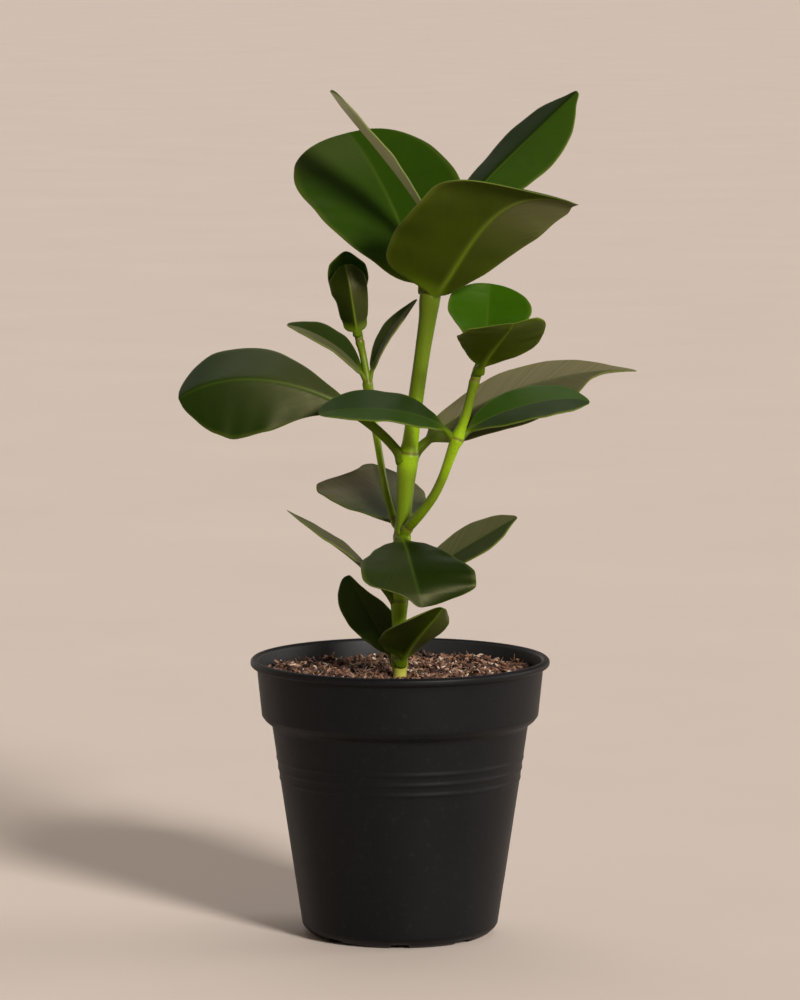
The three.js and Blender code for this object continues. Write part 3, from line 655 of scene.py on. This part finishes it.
LEFT_SHOOT = [
    (0, 1, 163, 1.6), (-2.4, 4, 167, 1.6), (-4.6, 9, 174, 1.5), (-6.8, 11, 184, 1.45), (-9, 13, 197, 1.45),
    (-11.3, 14, 210, 1.55), (-12.7, 14, 219, 2.1), (-13.7, 14.3, 226, 1.5), (-15, 15, 233, 1.45),
    (-16.2, 15, 238, 1.7), (-17, 15, 242.5, 1.7),
]


def smooth_path(rows, per_span):
    """Uniform Catmull-Rom through the rows, positions and radius together."""
    rows = np.asarray(rows, float)
    padded = np.vstack([2 * rows[0] - rows[1], rows, 2 * rows[-1] - rows[-2]])
    out = []
    for i in range(1, len(padded) - 2):
        a, b, c, d = padded[i - 1:i + 3]
        for j in range(per_span):
            t = j / per_span
            out.append(0.5 * (2 * b + (c - a) * t + (2 * a - 5 * b + 4 * c - d) * t ** 2
                              + (3 * b - 3 * c + d - a) * t ** 3))
    out.append(rows[-1])
    return np.array(out)


def make_stem(name, rows, scars, node, seed):
    """A slightly uneven stem with a ringed scar at each joint and a rounded top."""
    sides = 40
    track = smooth_path(rows, 10)
    tangent = unit(np.gradient(track[:, :3], axis=0))
    first = unit(np.cross(tangent, np.tile([0.0, -1.0, 0.15], (len(track), 1))))
    second = unit(np.cross(tangent, first))
    chance = random.Random(seed)
    phase = [chance.uniform(0, TURN) for _ in range(3)]
    angles = np.arange(sides) / sides * 2 * math.pi
    height = track[:, 2]
    scar = np.zeros(len(track))
    swell = np.zeros(len(track))
    for place in scars:
        scar = np.maximum(scar, bell(height, place, 0.55))
        swell += 0.16 * bell(height, place - 1.1, 1.0) - 0.16 * bell(height, place, 0.45)
    radius = (track[:, 3] + swell)[:, None] * (
        1 + 0.018 * np.sin(2 * angles[None, :] + height[:, None] * 0.05 + phase[0])
        + 0.012 * np.sin(3 * angles[None, :] - height[:, None] * 0.11 + phase[1])
        + 0.008 * np.sin(5 * angles[None, :] + height[:, None] * 0.23 + phase[2]))
    points = (track[:, None, :3] + first[:, None, :] * (radius * np.cos(angles)[None, :])[..., None]
              + second[:, None, :] * (radius * np.sin(angles)[None, :])[..., None])
    rings = [points]
    tall = [height]
    for k in (0.35, 0.65, 0.88, 0.98):
        cap = track[-1, :3] + tangent[-1] * track[-1, 3] * k
        small = math.sqrt(1 - k * k)
        rings.append((cap + (points[-1] - track[-1, :3]) * small)[None])
        tall.append([height[-1]])
        scar = np.append(scar, 0)
    points = np.concatenate(rings)
    height = np.concatenate(tall)
    faces = grid_faces(len(points), sides) + end_faces(len(points), sides)
    attributes = {
        "height": np.tile(height[:, None], (1, sides)),
        "scar": np.tile(scar[:, None], (1, sides)),
    }
    make_piece(name, points.reshape(-1, 3), faces, STEM, attributes, [node])


make_stem("fine_main_stem", MAIN, (110.5, 135, 162, 194.5, 258.5), "main_stem", 1)
make_stem("fine_right_shoot", RIGHT_SHOOT, (165.5, 202.5, 226), "right_shoot", 2)
make_stem("fine_left_shoot", LEFT_SHOOT, (167, 222, 238.5), "left_shoot", 3)


# ---------------------------------------------------------------- the pot

def rounded(profile, step=0.35):
    """The outline with its corners eased and long runs divided."""
    points = np.asarray(profile, float)
    out = [points[0]]
    for i in range(1, len(points) - 1):
        a, b, c = points[i - 1], points[i], points[i + 1]
        reach = min(step, np.linalg.norm(b - a) * 0.45, np.linalg.norm(c - b) * 0.45)
        start = b + unit(a - b) * reach
        end = b + unit(c - b) * reach
        for k in (0, 0.33, 0.67, 1):
            out.append((1 - k) ** 2 * start + 2 * k * (1 - k) * b + k * k * end)
    out.append(points[-1])
    fine = [out[0]]
    for a, b in zip(out[:-1], out[1:]):
        parts = max(1, int(np.linalg.norm(b - a) / 2.5))
        for j in range(1, parts + 1):
            fine.append(a + (b - a) * j / parts)
    return np.array(fine)


RIDGES = 3
RIDGE_FIRST_Z = 63.6
RIDGE_PITCH = 4.1
RIDGE_HEIGHT = 0.26
MOUTH_RADIUS = 57.2
FOOT_NOTCHES = 8
FOOT_RADIUS = 34
FOOT_NOTCH_HEIGHT = 1.8
DRAIN_HOLES = 8
DRAIN_RADIUS = 2.2
DRAIN_CIRCLE = 23
FLOOR_Z = 4


def wall_radius(z):
    """The outside of the tapering wall, from the foot up to the shoulder."""
    return mix(39.4, 51.5, (z - 4.5) / 81)


def pot_outline():
    """Half section of the pot: out along the base, up the outside, over the lip and down the inside."""
    line = [(0.01, 0), (7, 0), (7.3, 2.2), (31.4, 2.2), (31.8, 0), (FOOT_RADIUS, 0), (36.6, 1.3), (38.6, 3.2),
            (39.4, 4.5)]
    for index in range(RIDGES):
        z = RIDGE_FIRST_Z + RIDGE_PITCH * index
        line += [(wall_radius(z - 1.0), z - 1.0), (wall_radius(z - 0.4) + RIDGE_HEIGHT, z - 0.35),
                 (wall_radius(z) + RIDGE_HEIGHT, z + 0.25), (wall_radius(z + 1.3), z + 1.3)]
    line += [(51.3, 84.2), (51.7, 85.2), (54.2, 87.2), (55.5, 89), (57.5, 108.5), (59.2, 108.6), (60, 109.4),
             (60, 110.9), (59.1, 111.8), (57.6, 111.8), (56.8, 110.8), (56.3, 107), (54.3, 89.8),
             (52.3, 87.6), (50.3, 85.4), (38.2, 6.5), (36.6, FLOOR_Z), (0.01, FLOOR_Z)]
    return rounded(line)


def make_pot():
    profile = pot_outline()
    around = 384
    angles = np.arange(around) / around * 2 * math.pi - math.pi / 2
    wobble = 1 + 0.0012 * np.sin(2 * angles + 0.6) + 0.0007 * np.sin(5 * angles + 1.9)
    r = profile[:, 0][:, None] * np.where(profile[:, 1][:, None] > 20, wobble[None, :], 1)
    z = np.tile(profile[:, 1][:, None], (1, around))
    gap = 2 * math.pi / FOOT_NOTCHES
    distance = np.abs((angles + math.pi / 2 + gap / 2) % gap - gap / 2) * FOOT_RADIUS
    notch = FOOT_NOTCH_HEIGHT * (1 - smoothstep(3.1, 3.9, distance))
    foot = (r > 31) & (z < 2.1)
    z = np.where(foot, np.maximum(z, notch[None, :]), z)
    points = np.stack([r * np.cos(angles)[None, :], r * np.sin(angles)[None, :], z], axis=-1)
    faces = [face[::-1] for face in grid_faces(len(profile), around)]
    ridge = np.tile(bell(profile[:, 1], 67, 9)[:, None], (1, around))
    lip = int(np.argmax(profile[:, 1]))
    # Marks the inner wall, which the material paints lighter grey as a painted reflection.
    inside = (np.arange(len(profile)) > lip) & (profile[:, 0] < MOUTH_RADIUS)
    inside = np.tile(inside[:, None].astype(float), (1, around))
    pot = make_piece("fine_pot", points.reshape(-1, 3), faces, POT, {"ridge": ridge, "inside": inside},
                     ["pot"])
    join_centre_points(pot)
    cut_drain_holes(pot)
    mark_sharp_edges(pot.data)


def join_centre_points(pot):
    """Joins the points that meet on the pot's axis and turns every face outwards."""
    work = bmesh.new()
    work.from_mesh(pot.data)
    bmesh.ops.remove_doubles(work, verts=work.verts, dist=0.00002)
    bmesh.ops.recalc_face_normals(work, faces=work.faces)
    work.to_mesh(pot.data)
    work.free()


def cut_drain_holes(pot):
    """A ring of round holes through the pot's floor."""
    cutters = bmesh.new()
    for hole in range(DRAIN_HOLES):
        angle = 2 * math.pi / DRAIN_HOLES * hole
        made = bmesh.ops.create_cone(cutters, cap_ends=True, segments=40, radius1=DRAIN_RADIUS * MM,
                                     radius2=DRAIN_RADIUS * MM, depth=2 * FLOOR_Z * MM)
        place = (DRAIN_CIRCLE * MM * math.cos(angle), DRAIN_CIRCLE * MM * math.sin(angle), 3 * MM)
        bmesh.ops.translate(cutters, verts=made["verts"], vec=place)
    mesh = bpy.data.meshes.new("drain_cutters")
    cutters.to_mesh(mesh)
    cutters.free()
    knife = bpy.data.objects.new("drain_cutters", mesh)
    bpy.context.scene.collection.objects.link(knife)
    cut = pot.modifiers.new("drains", "BOOLEAN")
    cut.operation = "DIFFERENCE"
    cut.solver = "EXACT"
    cut.object = knife
    bpy.context.view_layer.update()
    done = bpy.data.meshes.new_from_object(pot.evaluated_get(bpy.context.evaluated_depsgraph_get()))
    pot.modifiers.clear()
    pot.data = done
    done.polygons.foreach_set("use_smooth", [True] * len(done.polygons))
    bpy.data.objects.remove(knife)


def mark_sharp_edges(mesh):
    """Keeps the edges of the holes and notches crisp under smooth shading."""
    sharp = bmesh.new()
    sharp.from_mesh(mesh)
    for edge in sharp.edges:
        if len(edge.link_faces) == 2 and edge.calc_face_angle(0) > 0.9:
            edge.smooth = False
    sharp.to_mesh(mesh)
    sharp.free()


make_pot()


# ---------------------------------------------------------------- the potting mix

MIX_LEVEL = 103.1
STEM_ROOM = 3.9
LOOSE_RADIUS = 54.2
LOOSE = (("crumb", 4200), ("chip", 2700), ("fibre", 1300), ("speck", 240))


def ground(x, y):
    """Height of the mix at a place, before the loose pieces."""
    lumps = (0.9 * np.sin(0.21 * x + 1.3) * np.cos(0.17 * y - 0.4) + 0.6 * np.sin(0.43 * x - 0.9 + 0.2 * y)
             + 0.5 * np.cos(0.37 * y + 0.31 * x + 2.1) + 0.35 * np.sin(0.9 * x + 0.7 * y))
    r = np.hypot(x, y)
    dip = 1.6 * np.exp(-(((x + 22) / 13) ** 2 + ((y - 46) / 11) ** 2))
    stem = 1.4 * np.exp(-((r / 9) ** 2))
    crags = (0.8 * np.sin(1.1 * x + 0.6 * y + 0.8) * np.cos(0.9 * y - 0.5 * x)
             + 0.6 * np.sin(1.7 * y + 0.4 * x))
    return MIX_LEVEL + 0.75 * lumps + 0.8 * crags - dip - stem + 0.9 * smoothstep(40, 54, r)


def make_ground():
    """The closed body of the mix: its lumpy top, and its sides and bottom inside the pot."""
    around = 220
    angles = np.arange(around) / around * 2 * math.pi
    radii = np.concatenate([np.linspace(0.2, 53.0, 64), [54.4]])
    rows = []
    for r in radii:
        x = r * np.cos(angles)
        y = r * np.sin(angles)
        fine = 0.35 * np.sin(1.9 * x + 3.1 * y) + 0.3 * np.sin(3.7 * y - 2.3 * x + 1)
        rows.append(np.stack([x, y, ground(x, y) + fine], axis=-1))
    buried = ((97, 55.0), (90, 54.0), (87.5, 51.9), (85.3, 49.9), (45, 44.0), (6.8, 37.9), (4.2, 36.3),
              (4.2, 0.2))
    for z, r in buried:
        rows.append(np.stack([r * np.cos(angles), r * np.sin(angles), np.full(around, float(z))], axis=-1))
    points = np.array(rows)
    tone = np.full(points.shape[:2], 0.04)
    faces = [f[::-1] for f in grid_faces(len(points), around)]
    return points.reshape(-1, 3), faces, tone.ravel()


def strand(chance, centre, direction, length, wide, thin, bend, sections, sides, taper):
    """A curved, flattened, tapering splinter or fibre."""
    d = unit(direction)
    other = unit(np.cross(d, unit([chance.gauss(0, 1), chance.gauss(0, 1), chance.gauss(0, 1)])))
    third = np.cross(d, other)
    k = np.linspace(-1, 1, sections)
    line = (np.outer(k * length / 2, d) + np.outer(bend * (k ** 2 - 0.4), third)
            + np.outer(bend * 0.5 * np.sin(2.2 * k + chance.uniform(0, 3)), other))
    body = 1 - taper * np.abs(k) ** 1.8
    body = body * np.array([chance.uniform(0.8, 1.2) for _ in k])
    turn = np.arange(sides) / sides * 2 * math.pi + chance.uniform(0, 1)
    jag = np.array([chance.uniform(0.7, 1.25) for _ in turn])
    ring = (np.cos(turn) * jag)[None, :, None] * other[None, None, :] * (wide * body)[:, None, None] \
        + (np.sin(turn) * jag)[None, :, None] * third[None, None, :] * (thin * body)[:, None, None]
    return centre + line[:, None, :] + ring


def loose_piece(chance, kind, x, y, z, direction):
    """The points of one loose piece of the mix, and how light it is from 0 to 1."""
    if kind == "crumb":
        size = chance.uniform(0.6, 2.1)
        centre = (x, y, z + chance.uniform(-0.3, 1.0))
        piece = strand(chance, centre, direction, size * 1.7, size * 0.6, size * 0.5, 0.1, 4, 5, 0.75)
        return piece, min(1, max(0.03, chance.gauss(0.34, 0.22)))
    if kind == "chip":
        size = chance.uniform(1.8, 6.4)
        centre = (x, y, z + chance.uniform(0.1, 1.7))
        piece = strand(chance, centre, direction, size, chance.uniform(0.4, 1.2), chance.uniform(0.2, 0.6),
                       chance.gauss(0, 0.5), 5, 6, 0.6)
        return piece, min(1, max(0.05, chance.gauss(0.58, 0.24)))
    if kind == "fibre":
        size = chance.uniform(2.5, 8.0)
        direction[2] = chance.gauss(0.15, 0.5)
        centre = (x, y, z + chance.uniform(0.3, 2.0))
        piece = strand(chance, centre, direction, size, chance.uniform(0.09, 0.2), chance.uniform(0.08, 0.16),
                       chance.gauss(0, 1.1), 8, 4, 0.5)
        return piece, min(1, max(0.1, chance.gauss(0.66, 0.16)))
    size = chance.uniform(0.5, 1.15)
    centre = (x, y, z + chance.uniform(0.6, 1.6))
    piece = strand(chance, centre, direction, size * 1.4, size * 0.6, size * 0.5, 0.05, 5, 6, 0.8)
    return piece, chance.uniform(0.88, 1.0)


def keep_inside(piece):
    """Draws in what would reach through the pot's wall."""
    far = np.hypot(piece[..., 0], piece[..., 1])
    limit = 55.7 + (piece[..., 2] - 105) * 0.1
    squeeze = np.where(far > limit, limit / far, 1.0)
    piece[..., 0] *= squeeze
    piece[..., 1] *= squeeze


def make_mix():
    """The body of the mix and thousands of loose pieces lying on it, as one mesh."""
    chance = random.Random(11)
    points, faces, tone = make_ground()
    points = [points]
    tones = [tone]
    start = len(points[0])
    share = 1.0
    kinds = [kind for kind, count in LOOSE for _ in range(int(count * share))]
    for kind in kinds:
        r = LOOSE_RADIUS * math.sqrt(chance.random())
        a = chance.uniform(0, 2 * math.pi)
        x = r * math.cos(a)
        y = r * math.sin(a)
        if math.hypot(x, y) < STEM_ROOM:
            continue
        tilt = chance.gauss(0, 0.5)
        heading = chance.uniform(0, 2 * math.pi)
        direction = np.array([math.cos(heading), math.sin(heading), tilt])
        piece, shade = loose_piece(chance, kind, x, y, float(ground(x, y)), direction)
        keep_inside(piece)
        rows, sides = piece.shape[:2]
        points.append(piece.reshape(-1, 3))
        tones.append(np.full(rows * sides, shade))
        for face in grid_faces(rows, sides) + end_faces(rows, sides):
            faces.append(tuple(start + i for i in face))
        start += rows * sides
    make_piece("fine_mix", np.concatenate(points), faces, MIX, {"tone": np.concatenate(tones)},
               ["potting_mix"])


make_mix()


# ---------------------------------------------------------------- the roots, as the CAD has them

def root_material():
    g = Graph("root")
    grain = g.noise(300, 4, 0.6, stretch=(1.0, 1.0, 0.3))
    body = g.blend(grain, (0.16, 0.10, 0.055), (0.34, 0.25, 0.15))
    return g.finish(g.surface(body, g.math("MULTIPLY_ADD", grain, 0.2, 0.6), g.bump(grain, 0.3, 0.0005)))


ROOT = root_material()
for thing in bpy.data.objects:
    if thing.type == "MESH" and thing.name.split(".")[0] == "root_system":
        thing.data.materials.clear()
        thing.data.materials.append(ROOT)


# ---------------------------------------------------------------- floor, light and camera

def make_floor():
    """A wide round floor whose rings grow outwards, in metres."""
    steps = [0.0, 0.1, 0.25, 0.5, 1, 2, 4, 8, 16, 32, 60]
    around = 96
    points = [(0, 0, 0)]
    for r in steps[1:]:
        for j in range(around):
            a = j / around * 2 * math.pi
            points.append((r * math.cos(a), r * math.sin(a), 0))
    faces = [(0, 1 + j, 1 + (j + 1) % around) for j in range(around)]
    for i in range(len(steps) - 2):
        near = 1 + i * around
        far = near + around
        for j in range(around):
            k = (j + 1) % around
            faces.append((near + j, far + j, far + k, near + k))
    mesh = bpy.data.meshes.new("studio_floor")
    mesh.from_pydata(points, [], faces)
    mesh.materials.append(FLOOR)
    floor = bpy.data.objects.new("studio_floor", mesh)
    bpy.context.scene.collection.objects.link(floor)


def make_sun(name, direction, strength, angle, colour):
    """A soft distant light that comes from the given direction."""
    lamp = bpy.data.lights.new(name, "SUN")
    lamp.energy = strength
    lamp.angle = math.radians(angle)
    lamp.color = colour
    thing = bpy.data.objects.new(name, lamp)
    thing.rotation_mode = "QUATERNION"
    thing.rotation_quaternion = Vector(direction).to_track_quat("Z", "Y")
    bpy.context.scene.collection.objects.link(thing)


def make_world():
    """Studio walls as pale as the floor along the horizon, and a dim room above them."""
    world = bpy.data.worlds.new("studio")
    world.use_nodes = True
    nodes = world.node_tree.nodes
    links = world.node_tree.links
    place = nodes.new("ShaderNodeTexCoord")
    split = nodes.new("ShaderNodeSeparateXYZ")
    climb = nodes.new("ShaderNodeMapRange")
    climb.interpolation_type = "SMOOTHSTEP"
    climb.inputs["From Min"].default_value = 0.06
    climb.inputs["From Max"].default_value = 0.32
    blend = nodes.new("ShaderNodeMix")
    blend.data_type = "RGBA"
    blend.inputs[6].default_value = (0.645, 0.535, 0.455, 1)
    blend.inputs[7].default_value = (0.122, 0.099, 0.080, 1)
    links.new(place.outputs["Generated"], split.inputs[0])
    links.new(split.outputs["Z"], climb.inputs["Value"])
    links.new(climb.outputs[0], blend.inputs[0])
    links.new(blend.outputs[2], nodes["Background"].inputs["Color"])
    bpy.context.scene.world = world


make_floor()
make_world()
make_sun("key", (0.53, -0.848, 0.42), 4.9, 12, (1.0, 0.965, 0.92))
make_sun("side", (0.97, 0.18, 0.22), 1.4, 36, (1.0, 0.97, 0.93))
make_sun("top", (0.10, 0.42, 0.92), 0.75, 46, (1.0, 0.98, 0.96))
make_sun("fill", (-0.55, 0.75, 0.40), 0.38, 60, (1.0, 0.97, 0.93))

settings = bpy.context.scene.view_settings
settings.view_transform = "Standard"
settings.look = "None"
settings.exposure = 0
settings.gamma = 1

CAMERA_PLACE = (0, -2.2, 0.427)
LOOK_AT = (0, 0, 0.1755)
lens = bpy.data.cameras.new("camera")
lens.sensor_fit = "VERTICAL"
lens.sensor_height = 36
lens.lens = 199.26
lens.clip_start = 0.05
lens.clip_end = 200
camera = bpy.data.objects.new("camera", lens)
camera.location = CAMERA_PLACE
camera.rotation_mode = "QUATERNION"
camera.rotation_quaternion = (Vector(LOOK_AT) - Vector(CAMERA_PLACE)).to_track_quat("-Z", "Y")
bpy.context.scene.collection.objects.link(camera)
bpy.context.scene.camera = camera
